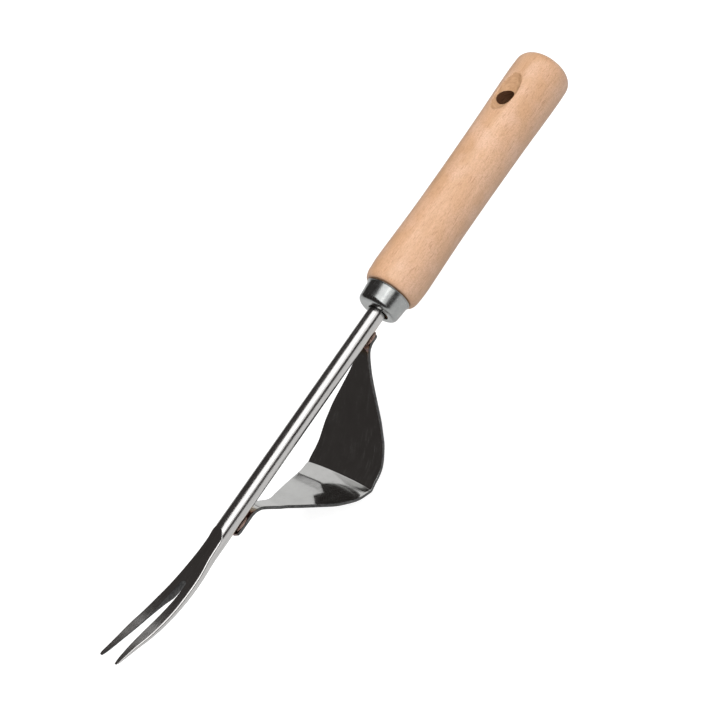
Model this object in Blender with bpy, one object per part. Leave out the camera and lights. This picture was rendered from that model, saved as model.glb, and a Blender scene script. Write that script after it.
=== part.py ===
"""Hand weeder: a beech handle, a steel ferrule, a round steel shaft forged into a two-pronged fork, and
the bent steel strip welded under the shaft, which the tool is levered on.

The pieces are modelled about the handle's axis. X runs from the fork to the handle's end, Z points out
of the fork's open face, and the origin is the middle of the ferrule's flat front. The empty hand_weeder
then moves everything so that the origin is at the middle of the footprint, at the lowest point.
"""

import math
from bisect import bisect_right

import bmesh
import bpy
from mathutils import Matrix, Vector

MM = 0.001  # every length below is in millimetres, and becomes metres when its mesh is made
GAP = 0.3  # clearance between pieces that touch on the real tool
FINE = 1e-6  # metres, for merging points that coincide
REACH = 15.0  # how far a cutter goes beyond what it cuts

# Handle, turned from beech
HANDLE_START = 10.0
HANDLE_END = 143.8
SHOULDER_RADIUS = 11.3
HANDLE_RADII = [(15, 13.2), (19.5, 13.5), (27, 13.4), (38, 13.15), (50, 12.93), (73, 12.93), (96, 13.15),
                (108, 13.35), (120, 13.67), (132, 13.88), (139, 13.75)]
SHOULDER_ROUNDING = 5.0
END_ROUNDING = 5.3
TENON_CHAMFER = 1.5
HANDLE_SIDES = 56

# Hanging hole, drilled through the handle, dished on the front and countersunk on the back
HOLE_X = 115.6
HOLE_RADIUS = 4.3
COUNTERSINK = 1.2
DISH_X = 117.2
DISH_SIZE = (11.6, 6.4, 4.4)  # half-axes of the dishing cutter along X, Y and Z
DISH_DEPTH = 3.0

# Ferrule, a drawn steel cup with a thin rolled rim and an oversize hole for the shaft
FERRULE_LENGTH = 10.0
FERRULE_FRONT_RADIUS = 10.0
FERRULE_BACK_RADIUS = 10.65
FERRULE_ROUNDING = 2.4
FERRULE_WALL = 1.0
RIM_RADIUS = 11.05
RIM_LENGTH = 0.7
RIM_CHAMFER = 0.2
FERRULE_HOLE_RADIUS = 5.0
FERRULE_HOLE_SHIFT = -0.6
FERRULE_SIDES = 56

# Shaft, a round bar that sits a little low in the handle
SHAFT_RADIUS = 4.1
SHAFT_DROP = 0.85
TANG_DEPTH = 78.0
TANG_POINT = 3.0
BORE_EXTRA = 1.0  # depth of the handle's bore beyond the tang's end
GLUE_WALL = 0.6
SHAFT_SIDES = 32

# Fork, forged from the end of the shaft: distance from the ferrule, then a size there
FORK_START = 114.0
FORK_END = 186.3
FORK_HALF_WIDTHS = [(114, 4.1), (122, 4.1), (126, 4.15), (130, 4.35), (138.4, 5.45), (146.6, 6.15),
                    (154.7, 6.85), (162.3, 7.1), (169.7, 7.1), (176.2, 6.4), (182, 5.95), (186.3, 5.9)]
FORK_WIDEST = [(114, 0.0), (122, 0.0), (130, 0.9), (138.4, 1.3), (146.6, 2.0), (154.7, 3.3),
               (162.3, 5.0), (169.7, 7.2), (176.2, 9.3), (182, 11.0), (186.3, 12.4)]
FORK_BACKS = [(114, -4.1), (124, -4.1), (131, -4.0), (139, -3.7), (147, -2.9), (155, -1.2),
              (163, 1.1), (170, 3.75), (177, 6.7), (182, 9.0), (186.3, 11.3)]
FACE_HEIGHTS = [(116.0, 4.3), (119.8, 2.6), (122.0, 2.05), (130.0, 1.8), (138.4, 1.6), (146.6, 2.2),
                (154.7, 3.45), (162.3, 5.2), (169.7, 7.5), (176.2, 9.6), (182.0, 11.3), (190.0, 13.8)]
BACK_FULLNESS = 2.5  # superellipse exponent of the forged back, where 2 is a round bar
SLOT_BASE = 142.9
SLOT_HALF_WIDTHS = [(144.5, 1.55), (148.0, 1.8), (152.0, 2.0), (160.0, 2.05), (168.0, 2.2), (174.0, 2.6),
                    (179.0, 3.1), (183.0, 3.6), (185.2, 4.1), (186.4, 4.6), (190.0, 4.6)]
SLOT_WALLS = [(139.5, 6.2), (144.0, 3.8), (151.0, 3.6), (155.0, 2.3), (160.0, 1.3), (165.0, 0.8),
              (186.3, 0.6), (190.0, 0.6)]  # depth of the slot's straight walls, above the 45-degree flare
FLARE_START = 0.6  # half-width of the flare's groove where it runs out ahead of the slot
FLARE_DEPTH = 9.0
TINE_EDGES = [(170.0, 8.2), (176.2, 6.45), (182.0, 6.05), (184.9, 5.95), (185.8, 5.7), (186.4, 5.35),
              (190.0, 5.35)]

# Fulcrum strip, a leaf-shaped sheet bent to a V: its centre line, below the shaft's axis
STRIP_THICKNESS = 1.5
STRIP_TAB_Z = -(SHAFT_RADIUS + GAP + STRIP_THICKNESS / 2)
STRIP_ENDS = [(-7.3, STRIP_TAB_Z), (-115.5, STRIP_TAB_Z)]
STRIP_BEND = ((-62.25, -42.94), 1.8)  # the corner that digs in, and its radius
STRIP_CORNERS = [((-14.1, STRIP_TAB_Z), 8.0), ((-44.2, -32.45), 40.0), ((-53.6, -39.76), 25.0), STRIP_BEND,
                 ((-69.4, -39.6), 12.0), ((-77.7, -32.95), 28.0), ((-93.6, -16.1), 20.0),
                 ((-100.8, STRIP_TAB_Z), 8.0)]
TAB_HALF_WIDTH = 3.6
HANDLE_SIDE_WIDTHS = [(0, 20.1), (10.1, 19.9), (19.8, 18.4), (24.7, 16.8), (30.4, 14.7), (37.4, 11.4),
                      (47.4, 6.8), (52.4, 5.0), (58.4, TAB_HALF_WIDTH), (80, TAB_HALF_WIDTH)]
FORK_SIDE_WIDTHS = [(0, 20.1), (1.8, 19.9), (10.0, 18.4), (18.8, 15.5), (25.6, 12.2), (34.4, 7.7),
                    (39.6, 5.0), (46.6, 3.75), (54.1, TAB_HALF_WIDTH), (80, TAB_HALF_WIDTH)]
TAB_END_TRIM = 0.8
CREASE_LIFT = 1.6  # how far the ends of the sharp bend rise above its middle
CREASE_LEAN = -1.2  # how far they lean towards the fork
CREASE_REACH = 8.0  # distance from the bend at which that rise has mostly faded
STRIP_COLUMNS = 12  # spaces between the points across the sheet

# Weld fillets in the crevice between the shaft and each edge of each tab
WELD_LENGTH = 7.0
WELD_ROOT_ANGLE = 25.0  # degrees from straight below the shaft's axis to the bead's inner edge
WELD_TOP_ANGLE = 58.0
WELD_BULGE = 0.35
WELD_TAPER = 0.6  # share of its height that a bead loses at its ends
WELD_ROOT_FLAT = 0.3
WELD_MIDDLES = {"upper": -11.2, "lower": -110.0}


def smooth(points):
    """A function through the points: cubic pieces whose slope at each point is its neighbours' slope."""
    xs = [x for x, _ in points]
    ys = [y for _, y in points]
    last = len(points) - 1

    def slope(i):
        low = max(i - 1, 0)
        high = min(i + 1, last)
        return (ys[high] - ys[low]) / (xs[high] - xs[low])

    def value(x):
        x = min(max(x, xs[0]), xs[last])
        i = min(bisect_right(xs, x) - 1, last - 1)
        step = xs[i + 1] - xs[i]
        t = (x - xs[i]) / step
        start = (2 * t**3 - 3 * t**2 + 1) * ys[i] + (t**3 - 2 * t**2 + t) * step * slope(i)
        return start + (3 * t**2 - 2 * t**3) * ys[i + 1] + (t**3 - t**2) * step * slope(i + 1)

    return value


def steps_between(low, high, count):
    return [low + (high - low) * i / count for i in range(count + 1)]


def material(name, colour, roughness, metallic):
    made = bpy.data.materials.new(name)
    made.use_nodes = True
    shader = made.node_tree.nodes["Principled BSDF"]
    shader.inputs["Base Color"].default_value = (*colour, 1.0)
    shader.inputs["Roughness"].default_value = roughness
    shader.inputs["Metallic"].default_value = metallic
    return made


def add_object(name, bm, surface=None):
    """The bmesh, drawn in millimetres, as an object in metres with its faces pointing out."""
    bmesh.ops.recalc_face_normals(bm, faces=bm.faces)
    bmesh.ops.scale(bm, vec=(MM, MM, MM), verts=bm.verts)
    mesh = bpy.data.meshes.new(name)
    bm.to_mesh(mesh)
    bm.free()
    mesh.shade_smooth()
    mesh.set_sharp_from_angle(angle=math.radians(35))
    made = bpy.data.objects.new(name, mesh)
    bpy.context.scene.collection.objects.link(made)
    if surface:
        mesh.materials.append(surface)
    return made


def cut(piece, cutter):
    """Subtracts the cutter from the piece, and hides it."""
    cutter.hide_render = True
    cutter.display_type = "WIRE"
    modifier = piece.modifiers.new(cutter.name, "BOOLEAN")
    modifier.operation = "DIFFERENCE"
    modifier.object = cutter


def turned(name, outline, sides, surface=None, closed=False):
    """The outline of (x, radius) points spun round the X axis. A closed outline makes a hollow piece."""
    bm = bmesh.new()
    verts = [bm.verts.new((x, 0, radius)) for x, radius in outline]
    edges = [bm.edges.new(pair) for pair in zip(verts, verts[1:])]
    if closed:
        edges.append(bm.edges.new((verts[-1], verts[0])))
    bmesh.ops.spin(bm, geom=verts + edges, axis=(1, 0, 0), cent=(0, 0, 0), angle=2 * math.pi,
                   steps=sides, use_merge=True)
    bmesh.ops.remove_doubles(bm, verts=bm.verts, dist=FINE / MM)
    return add_object(name, bm, surface)


def lofted(name, rings, surface=None):
    """A solid through rings of points, all with the same number of points, with flat ends."""
    bm = bmesh.new()
    loops = [[bm.verts.new(point) for point in ring] for ring in rings]
    for first, second in zip(loops, loops[1:]):
        for i in range(len(first)):
            j = (i + 1) % len(first)
            bm.faces.new((first[i], first[j], second[j], second[i]))
    bm.faces.new(loops[0])
    bm.faces.new(loops[-1])
    return add_object(name, bm, surface)


def extruded(name, outline, direction):
    """A closed outline of 3D points pushed along a direction."""
    bm = bmesh.new()
    face = bm.faces.new([bm.verts.new(point) for point in outline])
    grown = bmesh.ops.extrude_face_region(bm, geom=[face])
    moved = [item for item in grown["geom"] if isinstance(item, bmesh.types.BMVert)]
    bmesh.ops.translate(bm, vec=direction, verts=moved)
    return add_object(name, bm)


def arc(centre_x, centre_r, radius_x, radius_r, start, end, count):
    """Points (x, r) on an ellipse's arc from one angle to another, in degrees, 0 being along +X."""
    angles = [math.radians(a) for a in steps_between(start, end, count)]
    return [(centre_x + radius_x * math.cos(a), centre_r + radius_r * math.sin(a)) for a in angles]


def rod(name, x_low, x_high, radius, sides, y=0.0, z=0.0):
    made = turned(name, [(x_low, 0), (x_low, radius), (x_high, radius), (x_high, 0)], sides)
    made.location = Vector((0, y, z)) * MM
    return made


def handle_outline():
    """The turned profile: tenon inside the ferrule, shoulder, waisted grip and rounded end."""
    radius = smooth(HANDLE_RADII)
    tenon_start = FERRULE_WALL + GAP
    tenon_radius = ferrule_inner_radius(tenon_start + FERRULE_ROUNDING) - GAP
    shoulder_x = HANDLE_START + SHOULDER_ROUNDING
    end_x = HANDLE_END - END_ROUNDING
    shoulder = arc(shoulder_x, SHOULDER_RADIUS, SHOULDER_ROUNDING, radius(shoulder_x) - SHOULDER_RADIUS,
                   180, 90, 6)
    grip = [(x, radius(x)) for x in steps_between(shoulder_x, end_x, 20)]
    end = arc(end_x, radius(end_x) - END_ROUNDING, END_ROUNDING, END_ROUNDING, 90, 0, 7)
    face_x = HANDLE_START + GAP
    tenon = [(tenon_start, 0), (tenon_start, tenon_radius - TENON_CHAMFER),
             (tenon_start + TENON_CHAMFER, tenon_radius), (face_x, tenon_radius)]
    return tenon + [(face_x, SHOULDER_RADIUS)] + shoulder[1:] + grip[1:] + end[1:] + [(HANDLE_END, 0)]


def ferrule_inner_radius(x):
    share = (x - FERRULE_ROUNDING) / (FERRULE_LENGTH - FERRULE_ROUNDING)
    return FERRULE_FRONT_RADIUS + (FERRULE_BACK_RADIUS - FERRULE_FRONT_RADIUS) * share - FERRULE_WALL


def handle(surface):
    piece = turned("handle", handle_outline(), HANDLE_SIDES, surface)
    bore_radius = SHAFT_RADIUS + GAP + GLUE_WALL + GAP
    cut(piece, rod("tang_bore_cutter", -REACH, TANG_DEPTH + BORE_EXTRA, bore_radius, SHAFT_SIDES,
                   z=-SHAFT_DROP))
    crest = smooth(HANDLE_RADII)(HOLE_X)
    wide = HOLE_RADIUS + COUNTERSINK + 1.0
    far = crest + REACH
    drill = [(-far, 0), (-far, HOLE_RADIUS), (crest - COUNTERSINK, HOLE_RADIUS), (crest + 1.0, wide),
             (far, wide), (far, 0)]
    hole = turned("hanging_hole_cutter", drill, 32)
    hole.rotation_euler.y = math.radians(90)
    hole.location.x = HOLE_X * MM
    cut(piece, hole)
    cut(piece, dish_cutter())
    return piece


def dish_cutter():
    bm = bmesh.new()
    bmesh.ops.create_uvsphere(bm, u_segments=32, v_segments=16, radius=1.0)
    bmesh.ops.scale(bm, vec=DISH_SIZE, verts=bm.verts)
    made = add_object("front_dish_cutter", bm)
    crest = smooth(HANDLE_RADII)(DISH_X)
    made.location = Vector((DISH_X, 0, crest + DISH_SIZE[2] - DISH_DEPTH)) * MM
    return made


def ferrule(surface):
    """A cup: flat front with an off-centre hole, rounded edge, slightly tapered wall and thin rim."""
    rim_x = FERRULE_LENGTH - RIM_LENGTH
    corner_r = FERRULE_FRONT_RADIUS - FERRULE_ROUNDING
    outer = arc(FERRULE_ROUNDING, corner_r, FERRULE_ROUNDING, FERRULE_ROUNDING, 180, 90, 6)
    wall_end = ferrule_inner_radius(rim_x) + FERRULE_WALL
    rim = [(rim_x, wall_end), (rim_x + RIM_CHAMFER, RIM_RADIUS), (FERRULE_LENGTH, RIM_RADIUS)]
    inner_round = FERRULE_ROUNDING - FERRULE_WALL
    inner = arc(FERRULE_ROUNDING, corner_r, inner_round, inner_round, 90, 180, 4)
    back = [(FERRULE_LENGTH, ferrule_inner_radius(FERRULE_LENGTH))]
    outline = [(0, 0)] + outer + rim + back + inner + [(FERRULE_WALL, 0)]
    piece = turned("ferrule", outline, FERRULE_SIDES, surface)
    cut(piece, rod("ferrule_hole_cutter", -REACH, REACH, FERRULE_HOLE_RADIUS, 40, FERRULE_HOLE_SHIFT,
                   -SHAFT_DROP))
    return piece


def fork_ring(distance, sides):
    """The forged bar's cross-section at a distance from the ferrule, before its face is cut."""
    half_width = smooth(FORK_HALF_WIDTHS)(distance)
    widest = smooth(FORK_WIDEST)(distance)
    half_height = widest - smooth(FORK_BACKS)(distance)
    share = min(max((distance - FORK_START) / (SLOT_BASE - FORK_START), 0), 1)
    power = 2 / (2 + (BACK_FULLNESS - 2) * share)
    ring = []
    for i in range(sides):
        angle = 2 * math.pi * i / sides
        across = math.copysign(abs(math.cos(angle)) ** power, math.cos(angle))
        up = math.copysign(abs(math.sin(angle)) ** power, math.sin(angle))
        ring.append((-distance, half_width * across, widest + half_height * up - SHAFT_DROP))
    return ring


def shaft_fork(surface):
    """The bar from the tang's chamfered end to the two points, with its scooped face and its slot."""
    places = [-TANG_DEPTH + TANG_POINT, 0.0, FORK_START / 2]
    places += steps_between(FORK_START, FORK_END, 38)
    rings = [fork_ring(distance, SHAFT_SIDES) for distance in places]
    small = [(TANG_DEPTH, y / 2, (z + SHAFT_DROP) / 2 - SHAFT_DROP) for _, y, z in rings[0]]
    piece = lofted("shaft_fork", [small] + rings, surface)
    cut(piece, face_cutter())
    cut(piece, slot_cutter())
    cut(piece, slot_flare_cutter())
    for side in (1, -1):
        cut(piece, tine_edge_cutter(side))
    return piece


def face_cutter():
    """Everything in front of the fork's open face, which ramps in from the top of the bar."""
    height = smooth(FACE_HEIGHTS)
    low, high = FACE_HEIGHTS[0][0], FACE_HEIGHTS[-1][0]
    edge = [(-x, -REACH, height(x) - SHAFT_DROP) for x in steps_between(low, high, 30)]
    past_x, past_z = -high - REACH, edge[-1][2] + REACH
    top = [(past_x, -REACH, edge[-1][2]), (past_x, -REACH, past_z), (-low, -REACH, past_z)]
    return extruded("face_cutter", edge + top, (0, 2 * REACH, 0))


def slot_cutter():
    """The V between the prongs, with a round end and sides that open towards the points."""
    half = smooth(SLOT_HALF_WIDTHS)
    start = SLOT_HALF_WIDTHS[0][0]
    side = [(-x, half(x)) for x in steps_between(start, SLOT_HALF_WIDTHS[-1][0], 16)]
    base = arc(-start, 0, start - SLOT_BASE, half(start), -90, 90, 8)
    outline = base + side[1:] + [(x, -y) for x, y in reversed(side[1:])]
    return extruded("slot_cutter", [(x, y, -REACH) for x, y in outline], (0, 0, 3 * REACH))


def slot_flare_cutter():
    """What the slot's flare takes off the back, so that the prongs are wide in front and narrow behind."""
    face = smooth(FACE_HEIGHTS)
    half = smooth(SLOT_HALF_WIDTHS)
    wall = smooth(SLOT_WALLS)
    rings = []
    for x in steps_between(SLOT_WALLS[0][0], SLOT_WALLS[-1][0], 30):
        half_width = half(x) if x > SLOT_BASE else FLARE_START
        top = face(x) - wall(x) - SHAFT_DROP + FLARE_START / 2
        inner = half_width - FLARE_START / 2
        rings.append([(-x, inner, top), (-x, -inner, top), (-x, -inner - FLARE_DEPTH, top - FLARE_DEPTH),
                      (-x, inner + FLARE_DEPTH, top - FLARE_DEPTH)])
    return lofted("slot_flare_cutter", rings)


def tine_edge_cutter(side):
    """What lies outside a prong's outer edge near its point."""
    edge = smooth(TINE_EDGES)
    low, high = TINE_EDGES[0][0], TINE_EDGES[-1][0]
    outline = [(-x, side * edge(x)) for x in steps_between(low, high, 12)]
    outline += [(-high, side * REACH), (-low, side * REACH)]
    return extruded(f"tine_edge_cutter_{'left' if side > 0 else 'right'}",
                    [(x, y, -REACH) for x, y in outline], (0, 0, 3 * REACH))


def tang_adhesive(surface):
    """The sleeve of adhesive round the tang."""
    inner = SHAFT_RADIUS + GAP
    outer = inner + GLUE_WALL
    start, end = FERRULE_WALL + 2 * GAP, TANG_DEPTH - TANG_POINT - 1.0
    made = turned("tang_adhesive", [(start, inner), (start, outer), (end, outer), (end, inner)],
                  SHAFT_SIDES, surface, closed=True)
    made.location.z = -SHAFT_DROP * MM
    return made


def rounded_path(start, corners, end, count):
    """A path of straight runs, with a bend of its own radius at each corner."""
    stops = [Vector(start)] + [Vector(point) for point, _ in corners] + [Vector(end)]
    path = [stops[0]]
    for i, (_, radius) in enumerate(corners):
        before, corner, after = stops[i : i + 3]
        inward = (before - corner).normalized()
        outward = (after - corner).normalized()
        half = inward.angle(outward) / 2
        centre = corner + (inward + outward).normalized() * radius / math.sin(half)
        first = corner + inward * radius / math.tan(half) - centre
        turn = (corner + outward * radius / math.tan(half) - centre).angle_signed(first)
        for share in steps_between(0, 1, count):
            path.append(centre + Matrix.Rotation(turn * share, 2) @ first)
    return path + [stops[-1]]


def crease_offset(across, distance):
    """How far a point of the sheet is moved along X and Z, as the bend's ends rise above its middle."""
    share = (abs(across) / HANDLE_SIDE_WIDTHS[0][1]) ** 3 * math.exp(-((distance / CREASE_REACH) ** 2))
    return Vector((CREASE_LEAN, CREASE_LIFT)) * share


def subdivided(path, longest):
    """The path with extra points wherever two are further apart than the longest step."""
    fine = [path[0]]
    for a, b in zip(path, path[1:]):
        count = max(1, math.ceil((b - a).length / longest))
        fine += [a.lerp(b, i / count) for i in range(1, count + 1)]
    return fine


def fulcrum_strip(surface):
    """The sheet swept along its bent centre line: both ends are narrow tabs under the shaft."""
    rough = rounded_path(STRIP_ENDS[0], STRIP_CORNERS, STRIP_ENDS[1], 5)
    path = subdivided(rough, 3.0)
    travelled = [0.0]
    for a, b in zip(path, path[1:]):
        travelled.append(travelled[-1] + (b - a).length)
    last = len(path) - 1
    crease = min(range(len(path)), key=lambda i: path[i].y)
    rings = []
    for i, point in enumerate(path):
        along = (path[min(i + 1, last)] - path[max(i - 1, 0)]).normalized()
        normal = Vector((-along.y, along.x)) * STRIP_THICKNESS / 2
        distance = travelled[i] - travelled[crease]
        half = smooth(HANDLE_SIDE_WIDTHS if distance < 0 else FORK_SIDE_WIDTHS)(abs(distance))
        if i in (0, last):
            half -= TAB_END_TRIM
        ring = []
        for through, edge in ((normal, half), (-normal, -half)):
            for across in steps_between(edge, -edge, STRIP_COLUMNS):
                x, z = point + through + crease_offset(across, distance)
                ring.append((x, across, z - SHAFT_DROP))
        rings.append(ring)
    return lofted("fulcrum_strip", rings, surface)


def weld(name, middle, side, surface):
    """A fillet: concave against the shaft, flat on the tab, slightly bulging outside, thin at its ends."""
    touch = SHAFT_RADIUS + GAP
    floor = -SHAFT_RADIUS
    rings = []
    for share in steps_between(-1, 1, 8):
        taper = (WELD_TOP_ANGLE - WELD_ROOT_ANGLE) * WELD_TAPER * share**2
        top_angle = WELD_TOP_ANGLE - taper
        angles = [math.radians(a) for a in steps_between(WELD_ROOT_ANGLE, top_angle, 5)]
        against_shaft = [(touch * math.sin(a), -touch * math.cos(a)) for a in angles]
        top_y, top_z = against_shaft[-1]
        outside = []
        for step in steps_between(0, 1, 4)[1:]:
            bulge = WELD_BULGE * math.sin(math.pi * step)
            outside.append((top_y + bulge, top_z + (floor - top_z) * step))
        root_y = against_shaft[0][0]
        section = [(y, max(z, floor)) for y, z in against_shaft + outside]
        section.append((root_y + WELD_ROOT_FLAT, floor))
        x = middle + share * WELD_LENGTH / 2
        rings.append([(x, side * y, z - SHAFT_DROP) for y, z in section[1:]])
    return lofted(name, rings, surface)


def set_down():
    """Puts the middle of the footprint at the origin, with the strip's sharp bend at Z = 0."""
    root = bpy.data.objects.new("hand_weeder", None)
    bpy.context.scene.collection.objects.link(root)
    for piece in bpy.data.objects:
        if piece.type == "MESH":
            piece.parent = root
    strip = bpy.data.objects["fulcrum_strip"]
    lowest = min(vertex.co.z for vertex in strip.data.vertices)
    root.location = ((FORK_END - HANDLE_END) / 2 * MM, 0, -lowest)


def main():
    for old in list(bpy.data.objects):
        bpy.data.objects.remove(old, do_unlink=True)
    beech = material("beech", (0.66, 0.42, 0.24), 0.5, 0.0)
    zinc = material("zinc_plate", (0.62, 0.64, 0.66), 0.28, 1.0)
    polished = material("polished_steel", (0.66, 0.65, 0.64), 0.12, 1.0)
    sheet = material("sheet_steel", (0.62, 0.62, 0.61), 0.12, 1.0)
    bead = material("weld_metal", (0.32, 0.24, 0.2), 0.4, 1.0)
    adhesive = material("adhesive", (0.75, 0.7, 0.55), 0.5, 0.0)

    handle(beech)
    ferrule(zinc)
    shaft_fork(polished)
    fulcrum_strip(sheet)
    tang_adhesive(adhesive)
    for place, middle in WELD_MIDDLES.items():
        for side, label in ((1, "left"), (-1, "right")):
            weld(f"{place}_weld_{label}", middle, side, bead)
    set_down()


main()
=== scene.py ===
"""Looks for the hand weeder: detailed pieces, procedural materials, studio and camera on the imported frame.

Lengths are in millimetres in the tool's own axes, like the part's: X from the fork to the handle's end,
Z out of the fork's open face, and the origin at the middle of the ferrule's front.
"""

import math
from bisect import bisect_right

import bmesh
import bpy
from mathutils import Matrix, Vector


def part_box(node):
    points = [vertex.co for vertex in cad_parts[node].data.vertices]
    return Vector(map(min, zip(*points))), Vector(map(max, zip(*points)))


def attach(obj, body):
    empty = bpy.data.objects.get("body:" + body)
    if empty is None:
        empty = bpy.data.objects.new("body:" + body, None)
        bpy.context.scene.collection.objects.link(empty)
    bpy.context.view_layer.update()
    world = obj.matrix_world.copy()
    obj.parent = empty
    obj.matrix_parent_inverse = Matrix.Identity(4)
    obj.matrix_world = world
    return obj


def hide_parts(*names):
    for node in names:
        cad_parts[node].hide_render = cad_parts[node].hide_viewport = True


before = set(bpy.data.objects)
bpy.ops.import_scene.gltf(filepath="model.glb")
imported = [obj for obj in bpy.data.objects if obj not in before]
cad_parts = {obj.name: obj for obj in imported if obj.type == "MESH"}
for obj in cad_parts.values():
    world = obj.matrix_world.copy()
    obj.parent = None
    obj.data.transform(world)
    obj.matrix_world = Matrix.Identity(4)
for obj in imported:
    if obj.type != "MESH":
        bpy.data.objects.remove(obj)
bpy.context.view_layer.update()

MM = 0.001

# Handle
HANDLE_START = 10.3
HANDLE_END = 143.8
SHOULDER_RADIUS = 11.3
HANDLE_RADII = [(15.3, 13.25), (19.5, 13.5), (27, 13.4), (38, 13.15), (50, 12.93), (73, 12.93),
                (96, 13.15), (108, 13.35), (120, 13.67), (132, 13.88), (139, 13.75)]
SHOULDER_ROUNDING = 5.0
END_ROUNDING = 5.3
END_FLAT_RADIUS = 5.0
TENON_START = 1.6  # of the part of the handle that is inside the ferrule
TENON_RADIUS = 8.3
TENON_CHAMFER = 1.0
HANDLE_SIDES = 180
BORE_CLEARANCE = 1.2  # between the shaft and the handle's bore
BORE_LENGTH = 82.0
BORE_MIDDLE = 35.0
HOLE_X = 115.6
HOLE_RADIUS = 4.3
COUNTERSINK = 1.2  # depth of the 45-degree chamfer at the hole's back end
DISH_X = 117.2
DISH_SIZE = (11.6, 6.4, 4.4)
DISH_DEPTH = 3.0
DISH_RIM = 0.15  # softening of the dish's edge, and how deep a face is before it takes the dish's darker wood with its painted shade
HOLE_MARGIN = 0.05

# Ferrule
FERRULE_LENGTH = 9.9
FERRULE_FRONT_RADIUS = 9.95
FERRULE_BACK_RADIUS = 10.6
FERRULE_ROUNDING = 2.4
FERRULE_WALL = 0.95
RIM_RADIUS = 11.0
RIM_LENGTH = 0.65
FERRULE_HOLE_RADIUS = 5.0
FERRULE_HOLE_SHIFT = -0.6

# Shaft and fork, by distance from the ferrule
SHAFT_RADIUS = 4.1
SHAFT_DROP = 0.85
TANG_DEPTH = 78.0
FORK_START = 114.0
FORK_END = 186.2
FORK_HALF_WIDTHS = [(114, 4.1), (122, 4.1), (126, 4.15), (130, 4.35), (138.4, 5.45), (146.6, 6.15),
                    (154.7, 6.85), (162.3, 7.1), (169.7, 7.1), (176.2, 6.4), (182, 6.0), (184.9, 5.9),
                    (185.8, 5.65), (186.3, 5.3)]
FORK_WIDEST = [(114, 0.0), (122, 0.0), (130, 0.9), (138.4, 1.3), (146.6, 2.0), (154.7, 3.3),
               (162.3, 5.0), (169.7, 7.2), (176.2, 9.3), (182, 11.0), (186.3, 12.4)]
FORK_BACKS = [(114, -4.1), (124, -4.1), (131, -4.0), (139, -3.7), (147, -2.9), (155, -1.2),
              (163, 1.1), (170, 3.75), (177, 6.7), (182, 9.0), (186.3, 11.5)]
FACE_HEIGHTS = [(116.4, 4.1), (119.8, 2.55), (122.0, 2.0), (130.0, 1.8), (138.4, 1.6), (146.6, 2.2),
                (154.7, 3.45), (162.3, 5.2), (169.7, 7.5), (176.2, 9.6), (182.0, 11.3), (186.3, 12.5)]
BACK_FULLNESS = 2.5
SLOT_BASE = 142.9
SLOT_HALF_WIDTHS = [(144.5, 1.55), (148.0, 1.8), (152.0, 2.0), (160.0, 2.05), (168.0, 2.2), (174.0, 2.6),
                    (179.0, 3.1), (183.0, 3.6), (185.2, 4.1), (186.3, 4.55)]
SLOT_WALLS = [(139.5, 6.2), (144.0, 3.8), (151.0, 3.6), (155.0, 2.3), (160.0, 1.3), (165.0, 0.8),
              (186.3, 0.6)]  # depth of the slot's straight walls, above the 45-degree flare
EDGE_ROUNDING = 0.9  # of the open face's outer edge
EDGE_FADE_IN = 6.0  # distance over which that rounding grows where the face starts
EDGE_FADE_OUT = 20.0  # distance over which it shrinks again towards the points
EDGE_AT_POINTS = 4.0  # how far past the points it would reach zero
TANG_POINT = 3.0

# Fulcrum strip
STRIP_THICKNESS = 1.5
GAP = 0.3
STRIP_TAB_Z = -(SHAFT_RADIUS + GAP + STRIP_THICKNESS / 2)
STRIP_ENDS = [(-7.3, STRIP_TAB_Z), (-115.5, STRIP_TAB_Z)]
STRIP_CORNERS = [((-14.1, STRIP_TAB_Z), 8.0), ((-44.2, -32.45), 40.0), ((-53.6, -39.76), 25.0),
                 ((-62.25, -42.93), 1.8), ((-69.4, -39.6), 28.0), ((-77.7, -32.95), 40.0),
                 ((-93.6, -16.1), 20.0), ((-100.8, STRIP_TAB_Z), 8.0)]
TAB_HALF_WIDTH = 3.6
HANDLE_SIDE_WIDTHS = [(0, 20.08), (10.1, 19.9), (19.8, 18.4), (24.7, 16.8), (30.4, 14.7), (37.4, 11.4),
                      (47.4, 6.8), (52.4, 5.0), (58.4, TAB_HALF_WIDTH), (80, TAB_HALF_WIDTH)]
FORK_SIDE_WIDTHS = [(0, 20.08), (1.8, 19.9), (10.0, 18.4), (18.8, 15.5), (25.6, 12.2), (34.4, 7.7),
                    (39.6, 5.0), (46.6, 3.75), (54.1, TAB_HALF_WIDTH), (80, TAB_HALF_WIDTH)]
TAB_END_ROUNDING = 2.4
STRIP_EDGE_ROUNDING = 0.25
CREASE_LIFT = 1.6  # how far the ends of the sharp bend rise above its middle
CREASE_LEAN = -1.2  # how far they lean towards the fork
CREASE_REACH = 8.0  # distance from the bend at which that rise has mostly faded

# Brightness of the floor and of the world, in what they light and as the camera sees them
FLOOR_GLOW = 0.5
FLOOR_WHITE = 0.9
FLOOR_HALF_SIZE = 3.0
FLOOR_DROP = 0.0005
WORLD_TINT = (1.0, 0.9, 0.86, 1)
WORLD_GLOW = 0.05
WORLD_WHITE = 1.0

# Camera: where it is and how it is turned, in the tool's axes
CAMERA_PLACE = (-195.08, -430.80, 455.98)
LENS = 75.0
SENSOR = 36.0
CAMERA_TURN = (0.8124934835, 0.1219381512, -1.0102931984)  # axis times angle, in radians

# Where the tool's origin is in the frame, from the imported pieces' boxes
handle_low, handle_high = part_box("handle")
ferrule_low, ferrule_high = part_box("ferrule")
ORIGIN = Vector((handle_high.x - HANDLE_END * MM, 0, (ferrule_low.z + ferrule_high.z) / 2))


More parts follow.
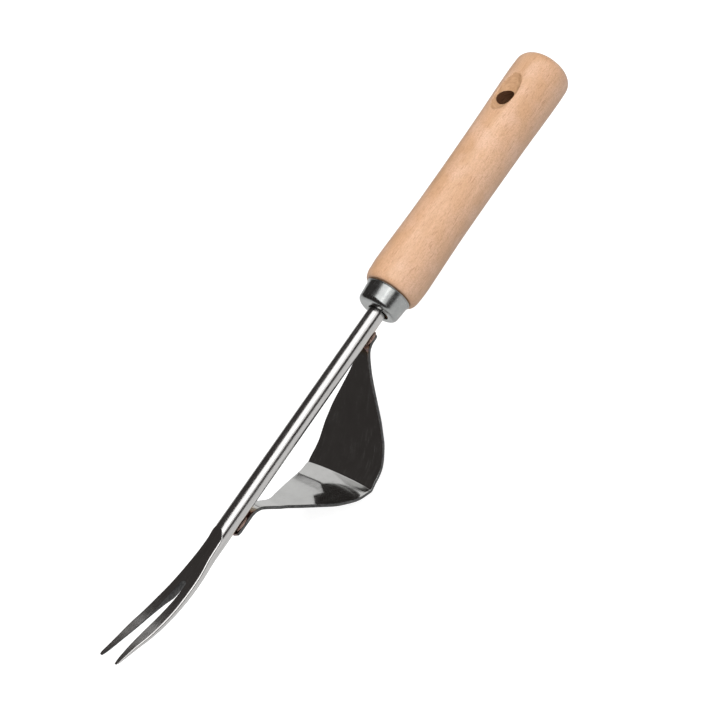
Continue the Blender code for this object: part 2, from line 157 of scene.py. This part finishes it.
def smooth(points):
    """A function through the points: cubic pieces whose slope at each point is its neighbours' slope."""
    xs = [x for x, _ in points]
    ys = [y for _, y in points]
    last = len(points) - 1

    def slope(i):
        low = max(i - 1, 0)
        high = min(i + 1, last)
        return (ys[high] - ys[low]) / (xs[high] - xs[low])

    def value(x):
        x = min(max(x, xs[0]), xs[last])
        i = min(bisect_right(xs, x) - 1, last - 1)
        step = xs[i + 1] - xs[i]
        t = (x - xs[i]) / step
        start = (2 * t**3 - 3 * t**2 + 1) * ys[i] + (t**3 - 2 * t**2 + t) * step * slope(i)
        return start + (3 * t**2 - 2 * t**3) * ys[i + 1] + (t**3 - t**2) * step * slope(i + 1)

    return value


def steps_between(low, high, count):
    return [low + (high - low) * i / count for i in range(count + 1)]


def arc(centre_x, centre_r, radius_x, radius_r, start, end, count):
    angles = [math.radians(a) for a in steps_between(start, end, count)]
    return [(centre_x + radius_x * math.cos(a), centre_r + radius_r * math.sin(a)) for a in angles]


def add_piece(name, bm, materials, node, sharp=35.0):
    """The bmesh, in tool millimetres, as a piece of the tool that stands for a CAD node."""
    bmesh.ops.remove_doubles(bm, verts=bm.verts, dist=1e-4)
    bmesh.ops.recalc_face_normals(bm, faces=bm.faces)
    bmesh.ops.transform(bm, matrix=Matrix.Translation(ORIGIN) @ Matrix.Scale(MM, 4), verts=bm.verts)
    mesh = bpy.data.meshes.new(name)
    bm.to_mesh(mesh)
    bm.free()
    mesh.shade_smooth()
    mesh.set_sharp_from_angle(angle=math.radians(sharp))
    for material in materials:
        mesh.materials.append(material)
    piece = bpy.data.objects.new(name, mesh)
    bpy.context.scene.collection.objects.link(piece)
    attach(piece, "root")
    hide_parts(node)
    return piece


def loft(rings, closed=True, caps=True):
    """A bmesh through rings of points with the same number of points each."""
    bm = bmesh.new()
    loops = [[bm.verts.new(point) for point in ring] for ring in rings]
    count = len(loops[0])
    for first, second in zip(loops, loops[1:]):
        for i in range(count if closed else count - 1):
            j = (i + 1) % count
            bm.faces.new((first[i], first[j], second[j], second[i]))
    if caps:
        bm.faces.new(loops[0])
        bm.faces.new(loops[-1])
    return bm


# ---------------------------------------------------------------- materials


class Nodes:
    """A material's node tree, with short ways to add and link its nodes."""

    def __init__(self, name):
        self.material = bpy.data.materials.new(name)
        self.material.use_nodes = True
        self.tree = self.material.node_tree
        self.shader = self.tree.nodes["Principled BSDF"]

    def add(self, kind, inputs=None, **settings):
        node = self.tree.nodes.new(kind)
        for key, value in settings.items():
            setattr(node, key, value)
        for key, value in (inputs or {}).items():
            if isinstance(value, bpy.types.NodeSocket):
                self.tree.links.new(value, node.inputs[key])
            else:
                node.inputs[key].default_value = value
        return node

    def place(self, scale=(1, 1, 1), turn=(0, 0, 0)):
        """Object position in millimetres from the tool's origin, stretched by scale."""
        coords = self.add("ShaderNodeTexCoord").outputs["Object"]
        local = self.add("ShaderNodeVectorMath", {0: coords, 1: ORIGIN}, operation="SUBTRACT").outputs[0]
        sized = [s / MM for s in scale]
        mapped = self.add("ShaderNodeMapping", {"Vector": local, "Scale": sized, "Rotation": turn})
        return mapped.outputs[0]

    def noise(self, vector, scale, detail=3.0, roughness=0.55, distortion=0.0):
        node = self.add("ShaderNodeTexNoise", {"Vector": vector, "Scale": scale, "Detail": detail,
                                               "Roughness": roughness, "Distortion": distortion})
        return node.outputs["Fac"]

    def ramp(self, value, stops):
        node = self.add("ShaderNodeValToRGB", {"Fac": value})
        elements = node.color_ramp.elements
        while len(elements) < len(stops):
            elements.new(0.5)
        for element, (position, colour) in zip(elements, stops):
            element.position = position
            grey = isinstance(colour, (int, float))
            element.color = (colour, colour, colour, 1) if grey else (*colour, 1)
        return node.outputs["Color"]

    def math(self, operation, a, b=0.0, clamp=False):
        return self.add("ShaderNodeMath", {0: a, 1: b}, operation=operation, use_clamp=clamp).outputs[0]

    def mix(self, factor, a, b, blend="MIX"):
        node = self.add("ShaderNodeMix", data_type="RGBA", blend_type=blend)
        for socket, value in ((node.inputs[0], factor), (node.inputs[6], a), (node.inputs[7], b)):
            if isinstance(value, bpy.types.NodeSocket):
                self.tree.links.new(value, socket)
            elif socket.type == "RGBA":
                socket.default_value = (*value, 1)
            else:
                socket.default_value = value
        return node.outputs[2]

    def bump(self, height, distance_mm, strength=1.0, normal=None):
        inputs = {"Height": height, "Distance": distance_mm * MM, "Strength": strength}
        if normal:
            inputs["Normal"] = normal
        return self.add("ShaderNodeBump", inputs).outputs[0]

    def set(self, **sockets):
        for name, value in sockets.items():
            socket = self.shader.inputs[name.replace("_", " ")]
            if isinstance(value, bpy.types.NodeSocket):
                self.tree.links.new(value, socket)
            elif socket.type == "RGBA":
                socket.default_value = (*value, 1)
            else:
                socket.default_value = value
        return self.material


def beech():
    n = Nodes("beech")
    place = n.place()
    broad = n.noise(n.place((0.018, 0.09, 0.09)), 1.0, 3.0, 0.5, 0.4)
    streaks = n.noise(n.place((0.06, 0.7, 0.7)), 1.0, 4.0, 0.6, 0.3)
    flecks = n.noise(n.place((0.28, 2.2, 2.2)), 1.0, 2.0, 0.5, 0.0)
    pores = n.noise(n.place((0.5, 6.0, 6.0)), 1.0, 1.0, 0.5, 0.0)
    patches = n.noise(place, 0.09, 2.0, 0.5)
    base = n.ramp(broad, [(0.3, (0.62, 0.365, 0.2)), (0.5, (0.7, 0.42, 0.25)), (0.72, (0.78, 0.5, 0.33))])
    base = n.mix(n.ramp(streaks, [(0.35, 0.0), (0.75, 0.45)]), base, (0.52, 0.29, 0.15))
    base = n.mix(n.ramp(patches, [(0.45, 0.0), (0.8, 0.6)]), base, (0.82, 0.55, 0.41))
    base = n.mix(n.ramp(flecks, [(0.57, 0.0), (0.7, 0.6)]), base, (0.42, 0.19, 0.09))
    base = n.mix(n.ramp(pores, [(0.60, 0.0), (0.74, 0.35)]), base, (0.33, 0.16, 0.08))
    grit = n.noise(place, 1.6, 3.0, 0.7)
    base = n.mix(n.ramp(grit, [(0.42, 0.0), (0.66, 0.5)]), base, (0.47, 0.25, 0.13))
    # Painted shade: the wood is darkened towards dark brown where its surface turns away from the view,
    # along the handle's outline.
    painted_edge_shade = n.add("ShaderNodeLayerWeight", {"Blend": 0.35}).outputs["Facing"]
    base = n.mix(n.ramp(painted_edge_shade, [(0.45, 0.0), (1.0, 0.8)]), base, (0.36, 0.17, 0.07))
    rough = n.ramp(streaks, [(0.3, 0.36), (0.7, 0.46)])
    height = n.math("ADD", n.math("MULTIPLY", flecks, 0.5), n.math("MULTIPLY", grit, 0.5))
    return n.set(Base_Color=base, Roughness=rough, Normal=n.bump(height, 0.06, 0.6),
                 Specular_IOR_Level=0.75)


def cut_grain_and_shade(name, dark, light):
    """The duller end grain where the handle is bored or dished, darkened further as painted shade in these
    recesses.
    """
    n = Nodes(name)
    rings = n.noise(n.place((0.4, 0.4, 3.0)), 1.0, 3.0, 0.6)
    base = n.ramp(rings, [(0.3, dark), (0.7, light)])
    return n.set(Base_Color=base, Roughness=0.65, Normal=n.bump(rings, 0.08, 0.6))


def brushed(n, across, along, depth, strength):
    """A bump of fine scratches that run along one direction."""
    lines = n.noise(n.place((along, across, across)), 1.0, 3.0, 0.6)
    return n.bump(lines, depth, strength)


def ferrule_steel():
    n = Nodes("ferrule_steel")
    tone = n.noise(n.place(), 0.35, 3.0)
    base = n.ramp(tone, [(0.3, (0.35, 0.36, 0.36)), (0.7, (0.41, 0.42, 0.41))])
    rough = n.ramp(n.noise(n.place((0.3, 1.5, 1.5)), 1.0), [(0.3, 0.2), (0.7, 0.28)])
    return n.set(Base_Color=base, Metallic=1.0, Roughness=rough, Normal=brushed(n, 3.0, 0.4, 0.01, 0.5))


def between(n, value, low, high, soft):
    """1 where the value lies from low to high, falling to 0 over the soft distance outside."""
    rising = n.math("DIVIDE", n.math("SUBTRACT", value, low - soft), soft, clamp=True)
    falling = n.math("DIVIDE", n.math("SUBTRACT", high + soft, value), soft, clamp=True)
    return n.math("MULTIPLY", rising, falling)


def heat_tint(n, base, z_low, z_high):
    """Straw, brown and purple oxide colours round the two welds, over the base colour."""
    place = n.place()
    split = n.add("ShaderNodeSeparateXYZ", {0: place})
    x, z = split.outputs[0], split.outputs[2]
    wander = n.noise(place, 0.35, 3.0)
    shifted = n.math("ADD", x, n.math("MULTIPLY", n.math("SUBTRACT", wander, 0.5), 5.0))
    upper = between(n, shifted, -15.0, -8.5, 3.5)
    lower = between(n, shifted, -114.5, -104.5, 4.0)
    height = between(n, z, z_low, z_high, 1.6)
    amount = n.math("MULTIPLY", n.math("MAXIMUM", upper, lower), height)
    tint = n.ramp(amount, [(0.0, (1.0, 1.0, 1.0)), (0.3, (0.95, 0.82, 0.66)), (0.55, (0.7, 0.47, 0.36)),
                           (0.8, (0.42, 0.28, 0.32)), (1.0, (0.5, 0.4, 0.36))])
    return n.mix(1.0, base, tint, "MULTIPLY")


def shaft_steel():
    n = Nodes("shaft_steel")
    tone = n.noise(n.place((0.05, 0.6, 0.6)), 1.0, 3.0)
    base = n.ramp(tone, [(0.3, (0.54, 0.53, 0.52)), (0.7, (0.62, 0.61, 0.60))])
    base = heat_tint(n, base, -9.0, -3.6)
    rough = n.ramp(n.noise(n.place((0.2, 1.2, 1.2)), 1.0), [(0.3, 0.17), (0.7, 0.25)])
    return n.set(Base_Color=base, Metallic=1.0, Roughness=rough, Normal=brushed(n, 2.0, 0.12, 0.012, 0.5))


def rough_shaded_steel(name, low, high):
    """Bare sheared or sawn steel: rough, without the polish of the faces, and near black as painted shade on
    these edges.
    """
    n = Nodes(name)
    tone = n.noise(n.place(), 0.9, 4.0)
    # Painted shade: the near-black colour darkens the cut edges and the slot's walls.
    base = n.ramp(tone, [(0.3, (low, low, low)), (0.7, (high, high, high))])
    return n.set(Base_Color=base, Metallic=1.0, Roughness=0.42, Normal=n.bump(tone, 0.05, 0.5))


def strip_steel():
    n = Nodes("strip_steel")
    tone = n.noise(n.place(), 0.12, 3.0)
    base = n.ramp(tone, [(0.3, (0.50, 0.50, 0.49)), (0.7, (0.56, 0.56, 0.55))])
    base = heat_tint(n, base, -12.0, -4.0)
    rough = n.ramp(n.noise(n.place(), 0.6, 4.0), [(0.3, 0.07), (0.7, 0.13)])
    specks = n.noise(n.place(), 1.7, 4.0)
    scratches = n.noise(n.place((0.12, 1.6, 0.12), (0.0, 0.0, 0.5)), 1.0, 4.0, 0.7)
    worn = n.ramp(scratches, [(0.56, 0.0), (0.75, 0.1)])
    return n.set(Base_Color=base, Metallic=n.math("SUBTRACT", 1.0, worn), Roughness=rough,
                 Normal=n.bump(specks, 0.01, 0.25))


def weld_metal():
    n = Nodes("weld_metal")
    tone = n.noise(n.place(), 1.2, 3.0)
    base = n.ramp(tone, [(0.3, (0.2, 0.11, 0.09)), (0.7, (0.46, 0.33, 0.27))])
    return n.set(Base_Color=base, Metallic=0.9, Roughness=0.4, Normal=n.bump(tone, 0.12, 0.8))


def set_adhesive():
    n = Nodes("set_adhesive")
    tone = n.noise(n.place(), 0.8, 3.0)
    base = n.ramp(tone, [(0.3, (0.35, 0.28, 0.16)), (0.7, (0.5, 0.42, 0.27))])
    return n.set(Base_Color=base, Roughness=0.5, Normal=n.bump(tone, 0.1, 0.6))


# ---------------------------------------------------------------- pieces


def handle_profile():
    radius = smooth(HANDLE_RADII)
    shoulder_x = HANDLE_START + SHOULDER_ROUNDING
    end_x = HANDLE_END - END_ROUNDING
    start = [(TENON_START, 0), (TENON_START, TENON_RADIUS - TENON_CHAMFER),
             (TENON_START + TENON_CHAMFER, TENON_RADIUS), (HANDLE_START, TENON_RADIUS),
             (HANDLE_START, SHOULDER_RADIUS)]
    shoulder = arc(shoulder_x, SHOULDER_RADIUS, SHOULDER_ROUNDING, radius(shoulder_x) - SHOULDER_RADIUS,
                   180, 90, 12)
    grip = [(x, radius(x)) for x in steps_between(shoulder_x, end_x, 180)]
    end = arc(end_x, radius(end_x) - END_ROUNDING, END_ROUNDING, END_ROUNDING, 90, 0, 14)
    return start + shoulder[1:] + grip[1:] + end[1:] + [(HANDLE_END, END_FLAT_RADIUS), (HANDLE_END, 0)]


def dished(x, y, z):
    """The handle's surface point, lowered where the dish is cut into its front, with a soft rim."""
    if z <= 0:
        return z
    crest = smooth(HANDLE_RADII)(DISH_X)
    centre_z = crest + DISH_SIZE[2] - DISH_DEPTH
    inside = 1 - ((x - DISH_X) / DISH_SIZE[0]) ** 2 - (y / DISH_SIZE[1]) ** 2
    if inside <= 0:
        return z
    floor = centre_z - DISH_SIZE[2] * math.sqrt(inside)
    share = min(max(0.5 + 0.5 * (z - floor) / DISH_RIM, 0), 1)
    return z + (floor - z) * share - DISH_RIM * share * (1 - share)


def build_handle(turned_wood, hole_grain_and_shade, dish_grain_and_shade):
    rings = []
    for x, radius in handle_profile():
        ring = []
        for i in range(HANDLE_SIDES):
            angle = 2 * math.pi * i / HANDLE_SIDES
            y, z = radius * math.sin(angle), radius * math.cos(angle)
            ring.append((x, y, dished(x, y, z)))
        rings.append(ring)
    bm = loft(rings, caps=False)
    piece = add_piece("wood_handle", bm, [turned_wood, hole_grain_and_shade, dish_grain_and_shade], "handle")
    radius = smooth(HANDLE_RADII)
    cut(piece, rod_cutter("hole_cutter", HOLE_RADIUS, 40, "Z", (HOLE_X, 0, 0)))
    depth = 2 * COUNTERSINK
    back = (HOLE_X, 0, -radius(HOLE_X))
    cut(piece, rod_cutter("countersink_cutter", HOLE_RADIUS + depth, depth, "Z", back, HOLE_RADIUS))
    bore_radius = SHAFT_RADIUS + BORE_CLEARANCE
    cut(piece, rod_cutter("bore_cutter", bore_radius, BORE_LENGTH, "X", (BORE_MIDDLE, 0, -SHAFT_DROP)))
    apply_modifiers(piece)
    # Faces in the hole and the dish take darker wood: end grain, with painted shade in these recesses.
    for face in piece.data.polygons:
        x, y, z = (face.center - ORIGIN) / MM
        if math.hypot(x - HOLE_X, y) < HOLE_RADIUS + HOLE_MARGIN:
            face.material_index = 1
        elif abs(x - DISH_X) < DISH_SIZE[0] and math.hypot(y, z) < radius(x) - DISH_RIM:
            face.material_index = 2
    return piece


def rod_cutter(name, radius, length, axis, centre, far_radius=None):
    """A rod, or a cone if its far end has another radius."""
    bm = bmesh.new()
    bmesh.ops.create_cone(bm, cap_ends=True, segments=72, radius1=radius, radius2=far_radius or radius,
                          depth=length)
    if axis == "X":
        bmesh.ops.rotate(bm, verts=bm.verts, matrix=Matrix.Rotation(math.pi / 2, 3, "Y"))
    bmesh.ops.translate(bm, vec=centre, verts=bm.verts)
    bmesh.ops.transform(bm, matrix=Matrix.Translation(ORIGIN) @ Matrix.Scale(MM, 4), verts=bm.verts)
    mesh = bpy.data.meshes.new(name)
    bm.to_mesh(mesh)
    bm.free()
    cutter = bpy.data.objects.new(name, mesh)
    bpy.context.scene.collection.objects.link(cutter)
    return cutter


def cut(piece, cutter):
    modifier = piece.modifiers.new(cutter.name, "BOOLEAN")
    modifier.operation = "DIFFERENCE"
    modifier.solver = "EXACT"
    modifier.object = cutter


def apply_modifiers(piece):
    """Bakes the piece's modifiers into its mesh, and removes their cutters."""
    cutters = [modifier.object for modifier in piece.modifiers if modifier.type == "BOOLEAN"]
    bpy.context.view_layer.update()
    graph = bpy.context.evaluated_depsgraph_get()
    baked = bpy.data.meshes.new_from_object(piece.evaluated_get(graph))
    piece.modifiers.clear()
    piece.data = baked
    for cutter in cutters:
        bpy.data.objects.remove(cutter, do_unlink=True)


def ferrule_inner_radius(x):
    share = (x - FERRULE_ROUNDING) / (FERRULE_LENGTH - FERRULE_ROUNDING)
    return FERRULE_FRONT_RADIUS + (FERRULE_BACK_RADIUS - FERRULE_FRONT_RADIUS) * share - FERRULE_WALL


def build_ferrule(material):
    """Rings from the hole's front edge out over the cup and back in to the hole's back edge."""
    rim_x = FERRULE_LENGTH - RIM_LENGTH
    corner_r = FERRULE_FRONT_RADIUS - FERRULE_ROUNDING
    outer = arc(FERRULE_ROUNDING, corner_r, FERRULE_ROUNDING, FERRULE_ROUNDING, 180, 90, 14)
    wall = [(x, ferrule_inner_radius(x) + FERRULE_WALL) for x in steps_between(FERRULE_ROUNDING, rim_x, 6)]
    edge = RIM_RADIUS - wall[-1][1]
    rim = arc(rim_x + RIM_LENGTH / 2, RIM_RADIUS - edge, RIM_LENGTH / 2, edge, 180, 0, 10)
    inner_round = FERRULE_ROUNDING - FERRULE_WALL
    inner = arc(FERRULE_ROUNDING, corner_r, inner_round, inner_round, 90, 180, 6)
    back = [(FERRULE_LENGTH, ferrule_inner_radius(FERRULE_LENGTH))]
    centred = [(0, corner_r - 0.6)] + outer + wall[1:] + rim[1:] + back + inner
    hole = [(0.25, FERRULE_HOLE_RADIUS), (0.07, FERRULE_HOLE_RADIUS + 0.07), (0, FERRULE_HOLE_RADIUS + 0.25)]
    rings = [off_centre_ring(x, radius) for x, radius in hole]
    rings += [centred_ring(x, radius) for x, radius in centred]
    rings += [off_centre_ring(FERRULE_WALL, FERRULE_HOLE_RADIUS), rings[0]]
    return add_piece("ferrule_cup", loft(rings, caps=False), [material], "ferrule")


def centred_ring(x, radius, sides=144):
    angles = [2 * math.pi * i / sides for i in range(sides)]
    return [(x, radius * math.sin(a), radius * math.cos(a)) for a in angles]


def off_centre_ring(x, radius):
    return [(px, y + FERRULE_HOLE_SHIFT, z - SHAFT_DROP) for px, y, z in centred_ring(x, radius)]


def slot_half_width(distance):
    """Half the gap between the prongs: zero before the slot, a round end, then the opening V."""
    start, half = SLOT_HALF_WIDTHS[0]
    if distance <= SLOT_BASE:
        return 0.0
    if distance < start:
        return half * math.sqrt(1 - ((start - distance) / (start - SLOT_BASE)) ** 2)
    return smooth(SLOT_HALF_WIDTHS)(distance)


def half_section(distance):
    """One side of the cross-section: along the face from the middle or slot out to the edge, then round
    the back to the middle or slot. Every section has the same number of points."""
    half_width = smooth(FORK_HALF_WIDTHS)(distance)
    widest = smooth(FORK_WIDEST)(distance)
    back = smooth(FORK_BACKS)(distance)
    half_height = widest - back
    face = smooth(FACE_HEIGHTS)(distance) if distance > FACE_HEIGHTS[0][0] else SHAFT_RADIUS
    share = min(max((distance - FORK_START) / (SLOT_BASE - FORK_START), 0), 1)
    fullness = 2 + (BACK_FULLNESS - 2) * share
    inner = slot_half_width(distance)
    rounding = EDGE_ROUNDING * min(max((distance - FACE_HEIGHTS[0][0]) / EDGE_FADE_IN, 0), 1)
    rounding *= min((FORK_END + EDGE_AT_POINTS - distance) / EDGE_FADE_OUT, 1)
    lift = min(max((face - rounding - widest) / half_height, -1), 1)
    edge_angle = math.asin(math.copysign(abs(lift) ** (fullness / 2), lift))

    def around(angle):
        across = abs(math.cos(angle)) ** (2 / fullness)
        up = math.copysign(abs(math.sin(angle)) ** (2 / fullness), math.sin(angle))
        return half_width * across, widest + half_height * up

    edge_y = max(around(edge_angle)[0], inner + rounding + 0.02)
    points = [(y, face) for y in steps_between(inner, edge_y - rounding, 14)]
    for angle in steps_between(math.pi / 2, 0, 6)[1:]:
        points.append((edge_y - rounding * (1 - math.cos(angle)), face - rounding * (1 - math.sin(angle))))
    last = -math.pi / 2
    if inner > 0:
        last = -math.acos(min((inner / half_width) ** (fullness / 2), 1))
    flare_top = face - smooth(SLOT_WALLS)(distance)
    for angle in steps_between(edge_angle, last, 40)[1:]:
        y, z = around(angle)
        points.append((y, max(z, flare_top - (y - inner))))
    return points


def build_shaft_fork(polished, sawn):
    places = steps_between(-TANG_DEPTH + TANG_POINT, 0, 8) + steps_between(0, FORK_START, 30)[1:]
    places += steps_between(FORK_START, FACE_HEIGHTS[0][0], 4)[1:]
    places += [FACE_HEIGHTS[0][0] + EDGE_FADE_IN * t**2 for t in steps_between(0, 1, 16)][1:]
    places += steps_between(places[-1], SLOT_BASE - 2, 24)[1:]
    places += steps_between(SLOT_BASE - 2, SLOT_BASE, 8)[1:]
    rounded = [SLOT_BASE + (1 - math.cos(a)) for a in steps_between(0, math.pi / 2, 8)][1:]
    places += rounded
    places += steps_between(places[-1], FORK_END, 70)[1:]
    sections = [(d, half_section(d)) for d in places]
    bm = bmesh.new()
    for side in (1, -1):
        columns = [[bm.verts.new((-d, side * y, z - SHAFT_DROP)) for y, z in points]
                   for d, points in sections]
        stitch(bm, columns)
        walls = [(d, points) for d, points in sections if d >= SLOT_BASE]
        inner = []
        for d, points in walls:
            (y, top), (_, bottom) = points[0], points[-1]
            heights = steps_between(bottom, top, 6)
            inner.append([bm.verts.new((-d, side * y, z - SHAFT_DROP)) for z in heights])
        stitch(bm, inner, 1)
        tip = [vert for vert in columns[-1]] + [vert for vert in inner[-1][1:-1]]
        bm.faces.new(tip)
        end = bm.verts.new((TANG_DEPTH, 0, -SHAFT_DROP))
        for a, b in zip(columns[0], columns[0][1:]):
            bm.faces.new((a, b, end))
    return add_piece("steel_shaft_fork", bm, [polished, sawn], "shaft_fork", sharp=28.0)


def stitch(bm, columns, surface=0):
    """Faces between neighbouring columns of points, with the piece's material of that number."""
    for first, second in zip(columns, columns[1:]):
        for i in range(len(first) - 1):
            face = bm.faces.new((first[i], first[i + 1], second[i + 1], second[i]))
            face.material_index = surface


def rounded_path(start, corners, end, count):
    """A path of straight runs, with a bend of its own radius at each corner."""
    stops = [Vector(start)] + [Vector(point) for point, _ in corners] + [Vector(end)]
    path = [stops[0]]
    for i, (_, radius) in enumerate(corners):
        before, corner, after = stops[i : i + 3]
        inward = (before - corner).normalized()
        outward = (after - corner).normalized()
        half = inward.angle(outward) / 2
        centre = corner + (inward + outward).normalized() * radius / math.sin(half)
        first = corner + inward * radius / math.tan(half) - centre
        turn = (corner + outward * radius / math.tan(half) - centre).angle_signed(first)
        for share in steps_between(0, 1, count):
            path.append(centre + Matrix.Rotation(turn * share, 2) @ first)
    return path + [stops[-1]]


def subdivided(path, longest):
    fine = [path[0]]
    for a, b in zip(path, path[1:]):
        count = max(1, math.ceil((b - a).length / longest))
        fine += [a.lerp(b, i / count) for i in range(1, count + 1)]
    return fine


def crease_offset(across, distance):
    """How far a point of the sheet is moved along X and Z, as the bend's ends rise above its middle."""
    share = (abs(across) / HANDLE_SIDE_WIDTHS[0][1]) ** 3 * math.exp(-((distance / CREASE_REACH) ** 2))
    return Vector((CREASE_LEAN, CREASE_LIFT)) * share


def build_strip(polished, sheared):
    """The sheet swept along its bent centre line, with softened edges and round-ended tabs."""
    path = subdivided(rounded_path(STRIP_ENDS[0], STRIP_CORNERS, STRIP_ENDS[1], 16), 1.0)
    apex = min(range(len(path)), key=lambda i: path[i].y)
    lengths = [0.0]
    for a, b in zip(path, path[1:]):
        lengths.append(lengths[-1] + (b - a).length)
    rings = []
    for i, point in enumerate(path):
        along = (path[min(i + 1, len(path) - 1)] - path[max(i - 1, 0)]).normalized()
        normal = Vector((-along.y, along.x))
        distance = lengths[i] - lengths[apex]
        half = smooth(HANDLE_SIDE_WIDTHS if distance < 0 else FORK_SIDE_WIDTHS)(abs(distance))
        from_end = min(lengths[i], lengths[-1] - lengths[i])
        if from_end < TAB_END_ROUNDING:
            share = 1 - from_end / TAB_END_ROUNDING
            half -= TAB_END_ROUNDING * (1 - math.sqrt(max(1 - share**2, 0)))
        rings.append(strip_ring(point, normal, half, distance))
    bm = loft(rings)
    for face in bm.faces:
        face.normal_update()
        if abs(face.normal.y) > 0.5:
            face.material_index = 1
    return add_piece("sheet_steel_strip", bm, [polished, sheared], "fulcrum_strip", 50.0)


def strip_ring(point, normal, half, distance):
    """A flat rectangle with rounded corners, across the strip at one point of its path."""
    thick = STRIP_THICKNESS / 2
    r = STRIP_EDGE_ROUNDING
    outline = []
    for side, start in ((1, 0), (-1, 180)):
        edge, up = side * (half - r), side * (thick - r)
        outline += arc(edge, up, r, r, start, start + 90, 4)
        outline += [(y, side * thick) for y in steps_between(edge, -edge, 40)[1:-1]]
        outline += arc(-edge, up, r, r, start + 90, start + 180, 4)
    ring = []
    for across, through in outline:
        x, z = point + normal * through + crease_offset(across, distance)
        ring.append((x, across, z - SHAFT_DROP))
    return ring


# ---------------------------------------------------------------- studio


def area_light(name, place, target, size, power, glossy=True, diffuse=True):
    data = bpy.data.lights.new(name, "AREA")
    data.shape = "RECTANGLE"
    data.size, data.size_y = size
    data.energy = power
    light = bpy.data.objects.new(name, data)
    bpy.context.scene.collection.objects.link(light)
    light.location = place
    light.rotation_euler = (Vector(target) - Vector(place)).to_track_quat("-Z", "Y").to_euler()
    light.visible_glossy = glossy
    light.visible_diffuse = diffuse


def floor_material():
    """A white floor, brighter to the camera than in what it lights."""
    n = Nodes("floor")
    path = n.add("ShaderNodeLightPath")
    glow = n.add("ShaderNodeMapRange", {"Value": path.outputs["Is Camera Ray"], "To Min": FLOOR_GLOW,
                                        "To Max": FLOOR_WHITE})
    return n.set(Base_Color=(0.3, 0.3, 0.3), Roughness=1.0, Specular_IOR_Level=0.0,
                 Emission_Color=(1.0, 1.0, 1.0), Emission_Strength=glow.outputs[0])


def build_studio():
    bm = bmesh.new()
    bmesh.ops.create_grid(bm, x_segments=8, y_segments=8, size=FLOOR_HALF_SIZE)
    mesh = bpy.data.meshes.new("floor")
    bm.to_mesh(mesh)
    bm.free()
    mesh.materials.append(floor_material())
    floor = bpy.data.objects.new("floor", mesh)
    floor.location.z = -FLOOR_DROP
    bpy.context.scene.collection.objects.link(floor)

    middle = (0.0, 0.0, 0.04)
    area_light("overhead_box", (0.25, -0.28, 1.0), middle, (1.3, 0.6), 4.6)
    area_light("front_box", (0.1, -1.3, 1.25), middle, (1.8, 0.9), 6.5)
    area_light("right_card", (0.86, 0.73, 0.5), middle, (0.78, 0.9), 1.9, diffuse=False)
    area_light("fill", (-0.1, -0.15, 1.4), middle, (0.9, 0.9), 15.5, glossy=False)

    world = bpy.data.worlds.new("studio")
    bpy.context.scene.world = world
    world.use_nodes = True
    tree = world.node_tree
    background = tree.nodes["Background"]
    path = tree.nodes.new("ShaderNodeLightPath")
    colour = tree.nodes.new("ShaderNodeMix")
    colour.data_type = "RGBA"
    colour.inputs[6].default_value = WORLD_TINT
    colour.inputs[7].default_value = (1.0, 1.0, 1.0, 1)
    tree.links.new(path.outputs["Is Camera Ray"], colour.inputs[0])
    tree.links.new(colour.outputs[2], background.inputs["Color"])
    strength = tree.nodes.new("ShaderNodeMapRange")
    strength.inputs["To Min"].default_value = WORLD_GLOW
    strength.inputs["To Max"].default_value = WORLD_WHITE
    tree.links.new(path.outputs["Is Camera Ray"], strength.inputs["Value"])
    tree.links.new(strength.outputs[0], background.inputs["Strength"])


def build_camera():
    data = bpy.data.cameras.new("camera")
    data.lens = LENS
    data.sensor_width = SENSOR
    camera = bpy.data.objects.new("camera", data)
    bpy.context.scene.collection.objects.link(camera)
    turn = Vector(CAMERA_TURN)
    camera.matrix_world = (Matrix.Translation(ORIGIN + Vector(CAMERA_PLACE) * MM)
                           @ Matrix.Rotation(turn.length, 4, turn.normalized()))
    bpy.context.scene.camera = camera


def main():
    bpy.context.scene.view_settings.view_transform = "Standard"
    # The hole's and the dish's colours are dark end grain with painted shade.
    hole_grain_and_shade = cut_grain_and_shade("hole_grain_and_shade", (0.1, 0.042, 0.018), (0.24, 0.11, 0.05))
    dish_grain_and_shade = cut_grain_and_shade("dish_grain_and_shade", (0.42, 0.23, 0.115), (0.58, 0.35, 0.2))
    build_handle(beech(), hole_grain_and_shade, dish_grain_and_shade)
    build_ferrule(ferrule_steel())
    build_shaft_fork(shaft_steel(), rough_shaded_steel("sawn_edge_shade", 0.05, 0.12))
    build_strip(strip_steel(), rough_shaded_steel("sheared_edge_shade", 0.06, 0.16))
    bead = weld_metal()
    for place in ("upper", "lower"):
        for side in ("left", "right"):
            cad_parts[f"{place}_weld_{side}"].data.materials[0] = bead
    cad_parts["tang_adhesive"].data.materials[0] = set_adhesive()
    build_studio()
    build_camera()


main()
